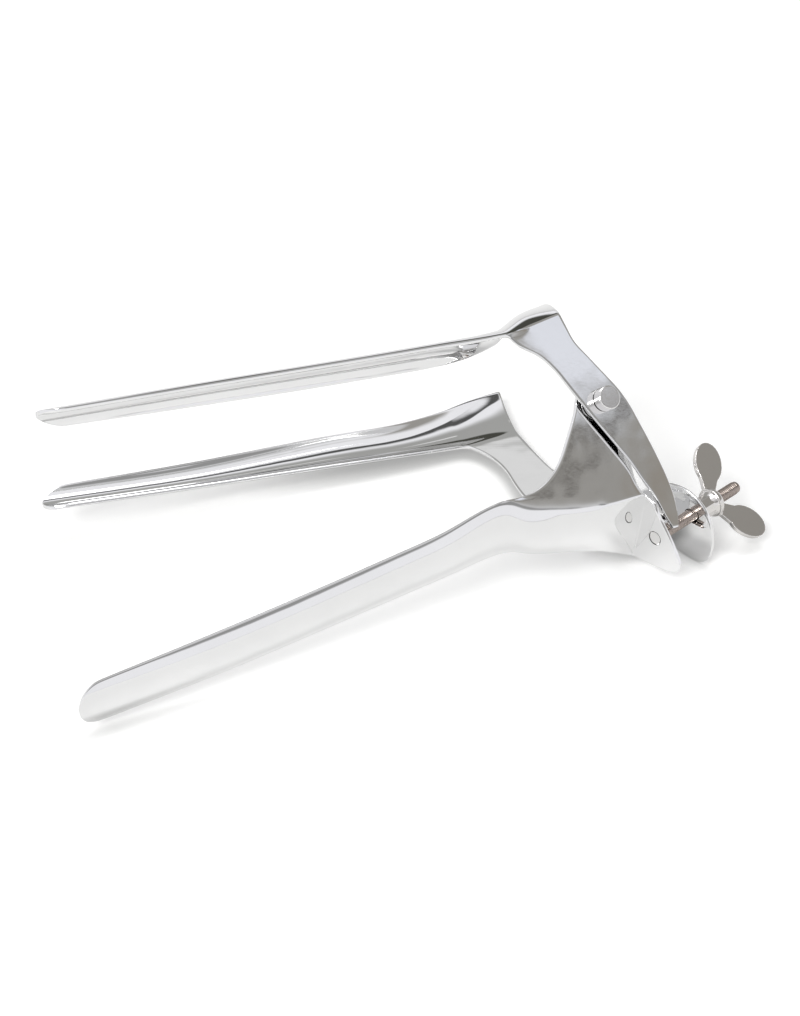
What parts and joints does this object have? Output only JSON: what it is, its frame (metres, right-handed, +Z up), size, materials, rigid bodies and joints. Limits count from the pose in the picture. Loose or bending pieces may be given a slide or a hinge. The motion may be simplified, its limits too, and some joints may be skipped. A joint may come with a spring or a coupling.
{
  "type": "three-bladed speculum",
  "caption": "Polished steel three-bladed speculum lying open, with hinged trough blades spread by a wing nut on a fixed screw.",
  "frame": {"origin": "middle of the footprint's bounding box, on the table the instrument rests on", "axes": "+Z up from the table; the blades' tips point along -X, the wing nut is on the +X side"},
  "size_m": [0.2214, 0.171, 0.0751],
  "materials": {
    "polished_sheet": "mirror-polished sheet steel",
    "turned_steel": "polished turned steel",
    "cast_steel": "polished cast steel"
  },
  "bodies": {
    "lower_frame": {"lower_blade": "polished_sheet", "pivot_rivet": "turned_steel", "pivot_washer": "turned_steel", "hinge_rivet": "turned_steel", "hinge_washer": "turned_steel", "screw_stud": "turned_steel"},
    "side_arm": {"side_blade": "polished_sheet"},
    "upper_arm": {"upper_blade": "polished_sheet"},
    "nut_seat": {"nut_washer": "turned_steel"},
    "nut": {"wing_nut": "cast_steel"}
  },
  "joints": [
    {"name": "side_hinge", "type": "hinge", "parent": "lower_frame", "child": "side_arm", "pos_m": [0.073, 0.00739, 0.00464], "axis": [0, 0, 1], "range_deg": [0, 24]},
    {"name": "upper_hinge", "type": "hinge", "parent": "lower_frame", "child": "upper_arm", "pos_m": [0.05776, 0.00856, 0.05154], "axis": [0.4507, -0.6109, 0.6509], "range_deg": [0, 19]},
    {"name": "nut_travel", "type": "slide", "parent": "lower_frame", "child": "nut_seat", "axis": [0.7071, 0.7071, 0], "range_m": [0, 0.0093]},
    {"name": "nut_turn", "type": "hinge", "parent": "nut_seat", "child": "nut", "pos_m": [0.08643, 0.00103, 0.01554], "axis": [0.7071, 0.7071, 0], "range_deg": [0, 4740]}
  ],
  "couplings": [
    {"joint": "upper_hinge", "follows": "side_hinge", "ratio": 0.79},
    {"joint": "nut_travel", "follows": "side_hinge", "m_per_rad": 0.021963},
    {"joint": "nut_turn", "follows": "side_hinge", "ratio": 197.14}
  ]
}
